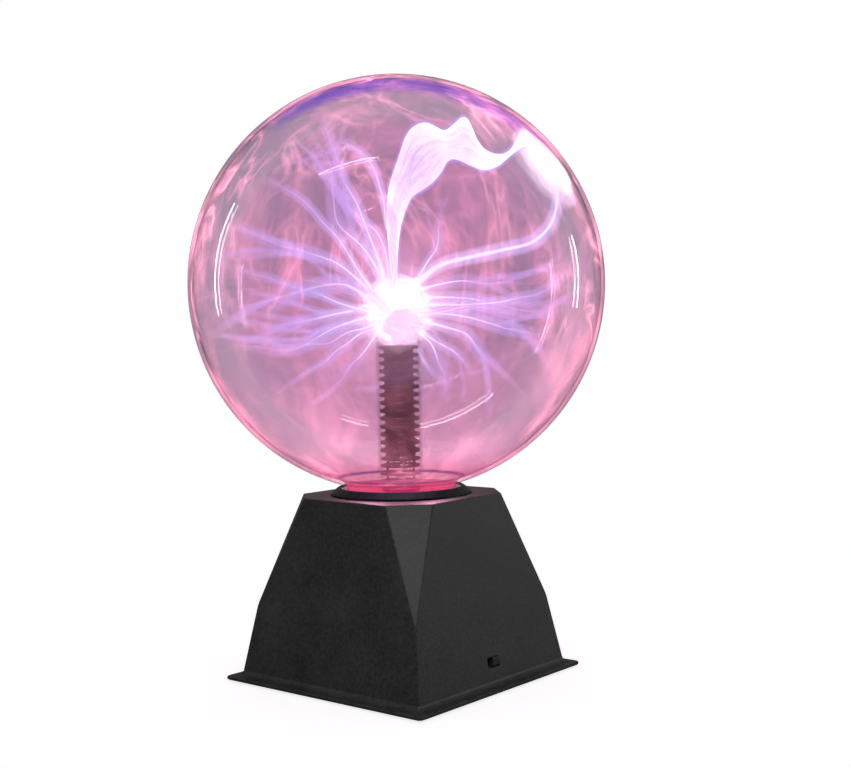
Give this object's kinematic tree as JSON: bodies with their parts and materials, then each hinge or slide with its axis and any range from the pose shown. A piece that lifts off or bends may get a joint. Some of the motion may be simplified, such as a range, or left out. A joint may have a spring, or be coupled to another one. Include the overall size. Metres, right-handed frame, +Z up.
{
  "type": "plasma ball",
  "caption": "Plasma ball: a gas-filled glass globe with a lit electrode on a stem, held by a collar on a tapered black square base with a slide switch and a power inlet.",
  "frame": {"origin": "on the surface that the feet stand on, under the middle of the globe", "axes": "+Z up through the globe; +X out of the face with the slide switch, -X out of the face with the power inlet"},
  "size_m": [0.203, 0.203, 0.294],
  "materials": {
    "globe_glass": "clear blown soda-lime glass",
    "base_plastic": "fine grained black moulding",
    "collar_plastic": "smooth black moulding",
    "knob_plastic": "smooth satin",
    "black_moulding": "moulded resin",
    "retainer_plastic": "natural grey moulding",
    "foot_rubber": "soft matte rubber",
    "sealant": "cured translucent sealant",
    "electrode_wool": "packed fine metal wool, glows white when lit",
    "mesh_wire": "fine woven wire",
    "plated_steel": "bright zinc plating",
    "contact_brass": "plain",
    "lead_insulation": "silicone insulation",
    "board_laminate": "phenolic laminate",
    "ferrite": "sintered, matte",
    "winding_resin": "potted winding",
    "copper_wire": "enamelled copper wire",
    "sink_aluminium": "extruded",
    "capacitor_sleeve": "shrunk sleeve",
    "film_case": "dipped coating",
    "resistor_coat": "lacquered body"
  },
  "bodies": {
    "base": {"base_shell": "base_plastic", "board_screw_1": "plated_steel", "board_screw_2": "plated_steel", "board_screw_3": "plated_steel", "board_screw_4": "plated_steel", "bottom_cover": "base_plastic", "capacitor_1": "capacitor_sleeve", "capacitor_2": "capacitor_sleeve", "circuit_board": "board_laminate", "collar_ring": "collar_plastic", "contact_spring": "plated_steel", "control_chip": "black_moulding", "cover_screw_1": "plated_steel", "cover_screw_2": "plated_steel", "cover_screw_3": "plated_steel", "cover_screw_4": "plated_steel", "dc_jack": "black_moulding", "dc_jack_pin": "plated_steel", "electrode_ball": "electrode_wool", "film_capacitor": "film_case", "foot_1": "foot_rubber", "foot_2": "foot_rubber", "foot_3": "foot_rubber", "foot_4": "foot_rubber", "globe_glass": "globe_glass", "heat_sink": "sink_aluminium", "high_voltage_lead": "lead_insulation", "mesh_core": "mesh_wire", "mesh_sleeve": "mesh_wire", "microphone": "sink_aluminium", "neck_sealant": "sealant", "power_transistor": "black_moulding", "primary_winding": "copper_wire", "resistor_1": "resistor_coat", "resistor_2": "resistor_coat", "retaining_ring": "retainer_plastic", "retaining_screw_1": "plated_steel", "retaining_screw_2": "plated_steel", "retaining_screw_3": "plated_steel", "secondary_winding": "winding_resin", "stem_glass": "globe_glass", "stem_plug": "sealant", "switch_base": "board_laminate", "switch_frame": "plated_steel", "switch_terminal_1": "contact_brass", "switch_terminal_2": "contact_brass", "switch_terminal_3": "contact_brass", "switch_terminal_4": "contact_brass", "transformer_core": "ferrite", "transistor_screw": "plated_steel"},
    "switch_slide": {"switch_slider": "knob_plastic", "switch_contact": "contact_brass"}
  },
  "joints": [
    {"name": "switch_travel", "type": "slide", "parent": "base", "child": "switch_slide", "axis": [0, 1, 0], "range_m": [-0.004, 0]}
  ]
}
